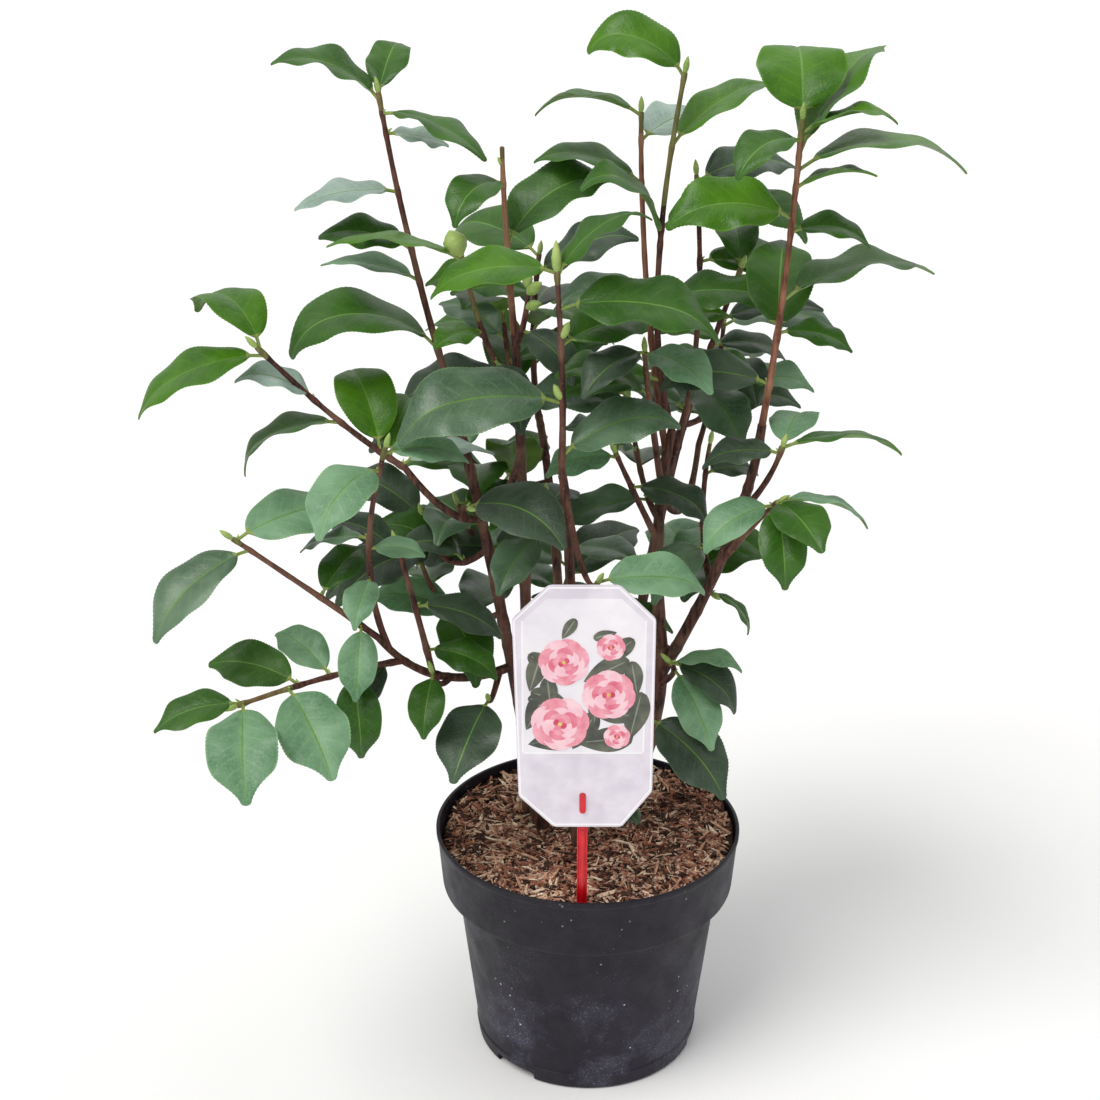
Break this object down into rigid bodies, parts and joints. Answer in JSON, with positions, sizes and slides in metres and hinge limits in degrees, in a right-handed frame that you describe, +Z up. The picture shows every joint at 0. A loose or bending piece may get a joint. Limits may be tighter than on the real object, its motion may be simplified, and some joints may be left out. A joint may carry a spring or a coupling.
{
  "type": "potted camellia shrub",
  "caption": "Potted camellia shrub: slender branching canes with glossy oval leaves, in a round plastic pot of soil with a picture card on a stick.",
  "frame": {"origin": "middle of the flat underside of the pot", "axes": "+Z up along the pot's axis, +Y away from the side with the picture card, +X to the right seen from the card side"},
  "size_m": [0.4455, 0.3297, 0.6368],
  "materials": {
    "pot": "dull charcoal injection-moulded plastic",
    "soil": "loose bark and coir compost",
    "card": "printed plastic card",
    "stick": "glossy moulded plastic",
    "bark": "thin smooth reddish bark",
    "leaf": "leathery glossy leaves on thin twigs"
  },
  "bodies": {
    "root": {"pot": "pot", "soil": "soil", "label_card": "card", "label_stick": "stick", "cane_left": "bark", "cane_middle": "bark", "cane_front": "bark", "trunk_right": "bark", "cane_right": "bark", "cane_inner": "bark", "cane_back": "bark", "cane_rear": "bark", "bough_left_upper": "bark", "bough_left_lower": "bark", "bough_rear": "bark", "left_spire": "leaf", "middle_spire": "leaf", "bud_twig": "leaf", "front_spire": "leaf", "left_upper_spray": "leaf", "left_upper_tuft": "leaf", "left_lower_spray": "leaf", "left_riser": "leaf", "left_drooper": "leaf", "left_small_riser": "leaf", "left_base_tuft": "leaf", "right_spire": "leaf", "inner_spire": "leaf", "inner_spire_left": "leaf", "front_tuft": "leaf", "back_spire": "leaf", "right_low_shoot": "leaf", "right_side_shoot": "leaf", "fork_left_shoot": "leaf", "front_low": "leaf", "right_low_tuft": "leaf", "right_low_spur": "leaf", "right_foot_leaf": "leaf", "middle_low": "leaf", "middle_rear": "leaf", "rear_spire": "leaf", "rear_left": "leaf", "rear_low": "leaf", "rear_right": "leaf", "back_right": "leaf", "back_side": "leaf", "inner_low": "leaf", "bud_spur": "leaf", "left_middle_tuft": "leaf", "middle_front": "leaf", "inner_rear": "leaf", "back_tall": "leaf", "left_inner": "leaf", "left_inner_low": "leaf", "right_inner": "leaf"}
  },
  "joints": []
}
